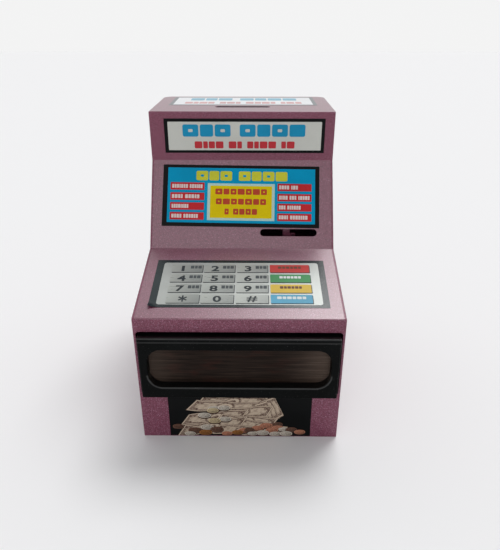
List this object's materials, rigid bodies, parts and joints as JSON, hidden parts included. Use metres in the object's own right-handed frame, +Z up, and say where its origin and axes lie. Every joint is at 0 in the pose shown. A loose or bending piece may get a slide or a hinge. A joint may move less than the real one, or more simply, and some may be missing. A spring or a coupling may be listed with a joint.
{
  "type": "toy atm savings bank",
  "caption": "Toy cash-machine money box: folded steel cabinet with sloping keypad deck, leaning screen, coin and card slots, and a spring drawer let go by a card-tripped latch.",
  "frame": {"origin": "under the middle of the object's box, on the surface that it stands on", "axes": "+Z up, -Y out of the front with the drawer, +X to the viewer's right"},
  "size_m": [0.187, 0.264, 0.2797],
  "materials": {
    "mauve_paint": "fine-textured speckled powder coat",
    "zinc_steel": "bright zinc plate",
    "rivet_aluminium": "satin",
    "screw_steel": "plated",
    "spring_steel": "bright drawn wire",
    "black_plastic": "semi-gloss moulded",
    "woodgrain_board": "dark printed wood grain, glossy",
    "top_print": "white printed film with a grey border",
    "header_print": "light printed film with a black border",
    "screen_print": "blue printed film with a black border",
    "keypad_print": "glossy printed film with silver keys and a dark border",
    "money_print": "glossy dark printed film with notes and coins"
  },
  "bodies": {
    "cabinet": {"front_fascia": "mauve_paint", "back_shell": "mauve_paint", "base_plate": "mauve_paint", "base_rivets": "rivet_aluminium", "left_rail": "zinc_steel", "right_rail": "zinc_steel", "rail_rivets": "rivet_aluminium", "left_shaft_bracket": "zinc_steel", "right_shaft_bracket": "zinc_steel", "bracket_rivets": "rivet_aluminium", "spring_anchor": "mauve_paint", "top_label": "top_print", "header_label": "header_print", "screen_label": "screen_print", "keypad_label": "keypad_print", "money_label": "money_print", "drawer_spring": "spring_steel", "latch_spring": "spring_steel"},
    "drawer": {"drawer_tray": "black_plastic", "drawer_front": "black_plastic", "window_panel": "woodgrain_board", "drawer_screws": "screw_steel"},
    "latch": {"latch_shaft": "screw_steel", "shaft_clips": "spring_steel", "trigger_arm": "mauve_paint", "latch_hook": "zinc_steel"}
  },
  "joints": [
    {"name": "drawer_slide", "type": "slide", "parent": "cabinet", "child": "drawer", "axis": [0, -1, 0], "range_m": [0, 0.11], "deforming": ["drawer_spring"]},
    {"name": "latch_tilt", "type": "hinge", "parent": "cabinet", "child": "latch", "pos_m": [0, -0.0035, 0.108], "axis": [1, 0, 0], "range_deg": [-10.5, 0], "stiffness_Nm_per_rad": 0.05, "springref_deg": 20.05, "deforming": ["latch_spring"]}
  ]
}
